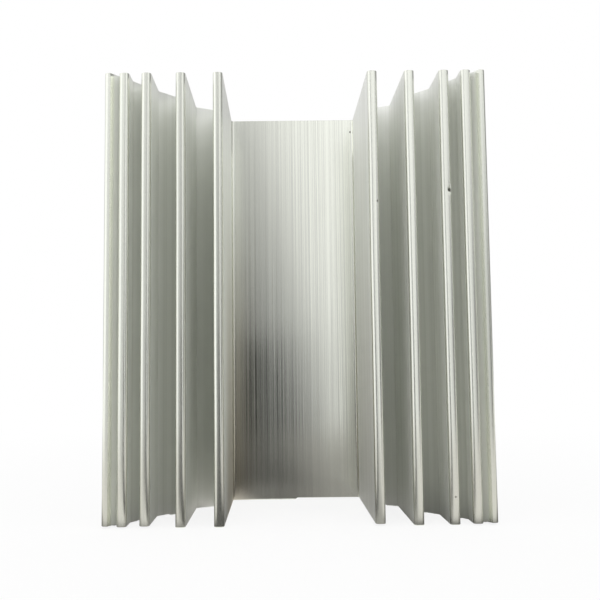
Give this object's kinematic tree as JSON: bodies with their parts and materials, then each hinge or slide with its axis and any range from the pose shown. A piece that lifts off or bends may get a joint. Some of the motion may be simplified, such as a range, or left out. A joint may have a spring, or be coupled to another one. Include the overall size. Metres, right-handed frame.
{
  "type": "extruded heat sink",
  "caption": "Extruded aluminium heat sink: a wide flat-floored centre channel for a power device, flanked by parallel cooling fins that get shorter towards both edges.",
  "frame": {"origin": "middle of the section's bounding box, on the lower cut end", "axes": "+Z along the extrusion, +X across the width, -Y out of the open side of the channel, where the fin tips are"},
  "size_m": [0.085, 0.04, 0.1],
  "materials": {
    "aluminium": "bare mill-finish extrusion, satin, with fine die lines along its length and sawn ends"
  },
  "bodies": {
    "root": {"heat_sink": "aluminium"}
  },
  "joints": []
}
